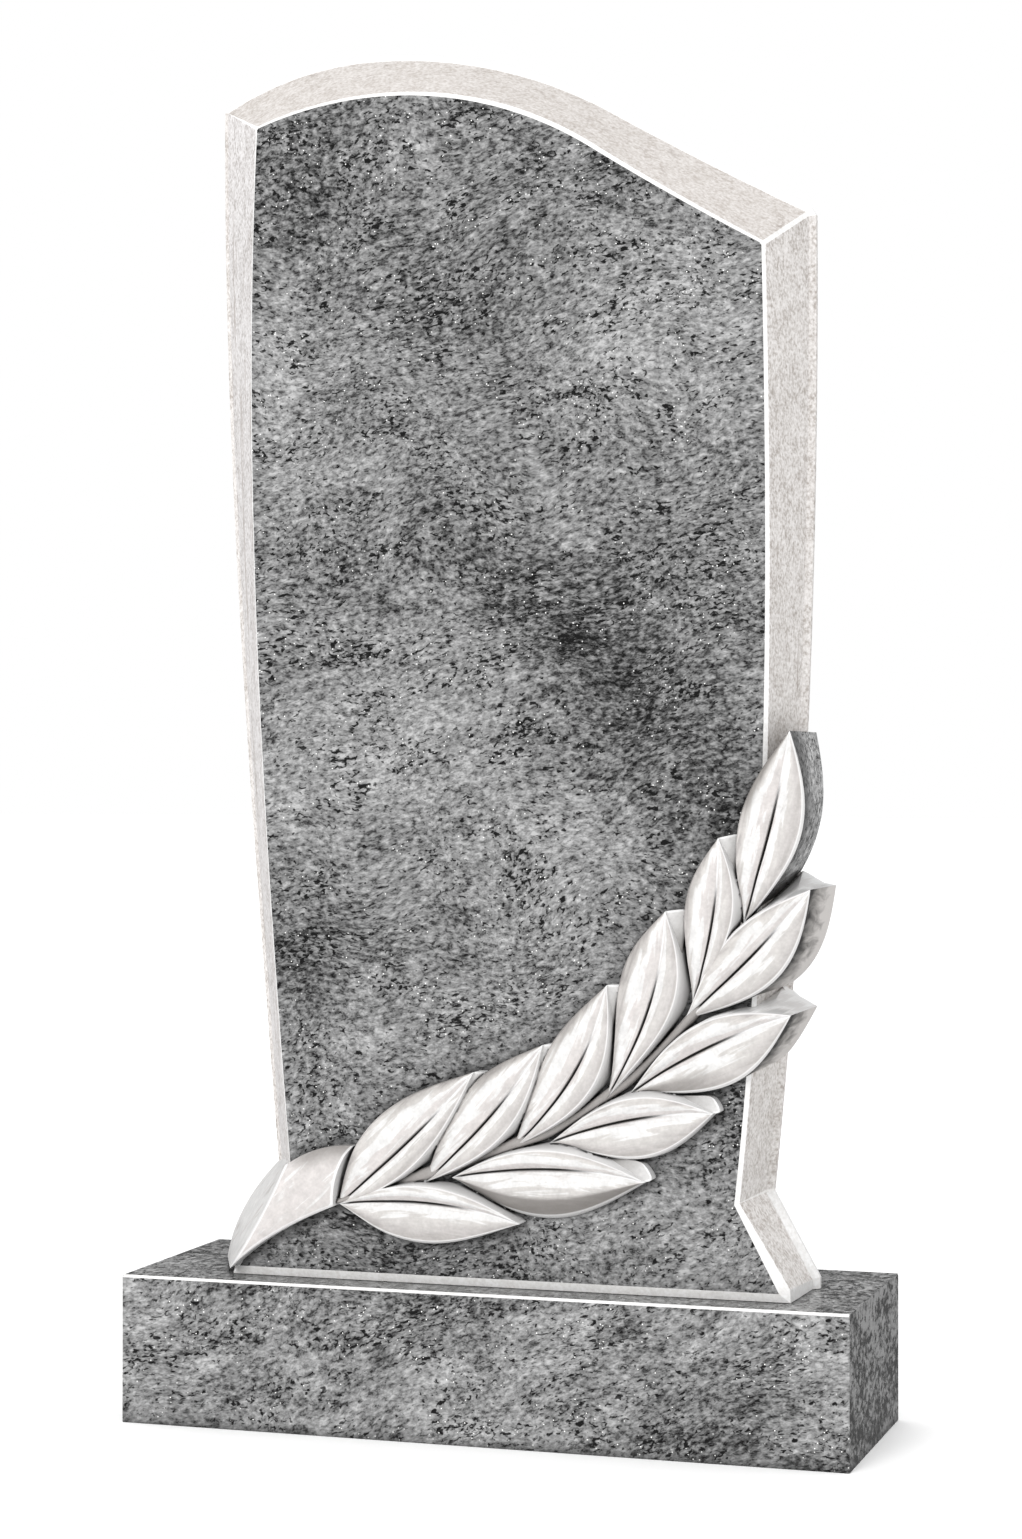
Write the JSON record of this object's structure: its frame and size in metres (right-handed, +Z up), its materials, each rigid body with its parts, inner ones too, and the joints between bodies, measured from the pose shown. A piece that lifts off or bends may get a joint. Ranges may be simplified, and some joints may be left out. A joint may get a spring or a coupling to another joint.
{
  "type": "marble memorial",
  "caption": "Upright marble stele with a curved top and a laurel branch carved across its lower front, standing on a plain plinth.",
  "frame": {"origin": "middle of the plinth's underside", "axes": "+X to the right as seen from the front, +Y to the back, +Z up; the front looks along -Y"},
  "size_m": [0.6, 0.2, 1.1203],
  "materials": {
    "stele_marble": "polished face, ground sides and carving",
    "plinth_marble": "polished"
  },
  "bodies": {
    "root": {"stele": "stele_marble", "plinth": "plinth_marble"}
  },
  "joints": []
}
